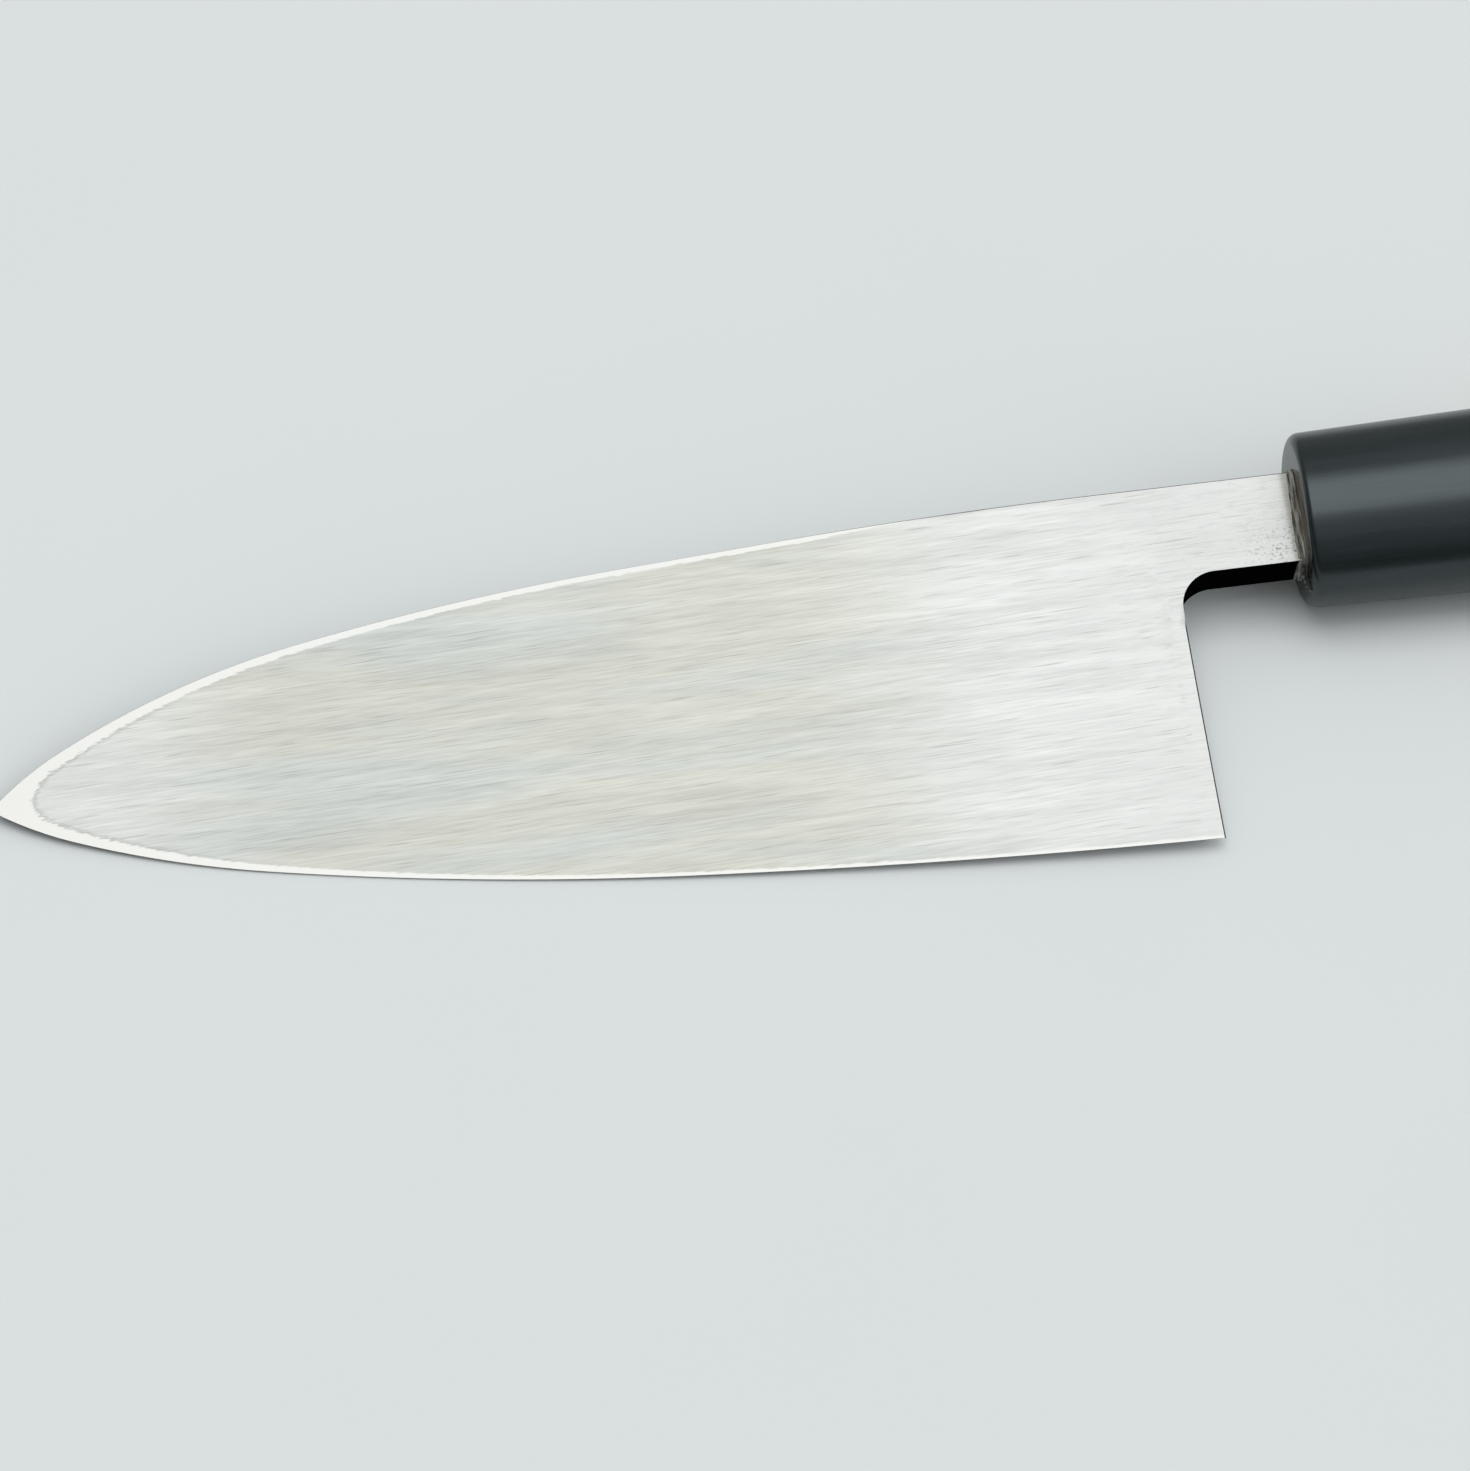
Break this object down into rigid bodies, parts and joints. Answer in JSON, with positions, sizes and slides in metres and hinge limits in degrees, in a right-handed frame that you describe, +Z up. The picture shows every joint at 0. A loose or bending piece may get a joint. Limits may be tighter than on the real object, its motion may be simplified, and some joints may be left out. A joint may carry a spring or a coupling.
{
  "type": "deba knife",
  "caption": "Heavy single-bevel fish knife with a hollow-ground flat back, bare neck, oval black ferrule and plain wooden grip, lying on its bevelled side.",
  "frame": {"origin": "bottom centre of the bounding box, on the surface that the knife lies on", "axes": "+X towards the handle's butt, +Y towards the spine, +Z up, out of the flat back; the knife lies rolled edge down and pitched tip down by its own shape"},
  "size_m": [0.3134, 0.0604, 0.0261],
  "materials": {
    "soft_iron": "satin, ground",
    "hard_steel": "brushed hollow with a polished rim",
    "black_horn": "satin black horn",
    "magnolia_wood": "bare, fine grain",
    "bedding_resin": "dark resin",
    "bead_resin": "dull grey resin"
  },
  "bodies": {
    "root": {"soft_iron_body": "soft_iron", "hard_steel_layer": "hard_steel", "ferrule": "black_horn", "handle_grip": "magnolia_wood", "tang_bedding": "bedding_resin", "mouth_bead": "bead_resin"}
  },
  "joints": []
}
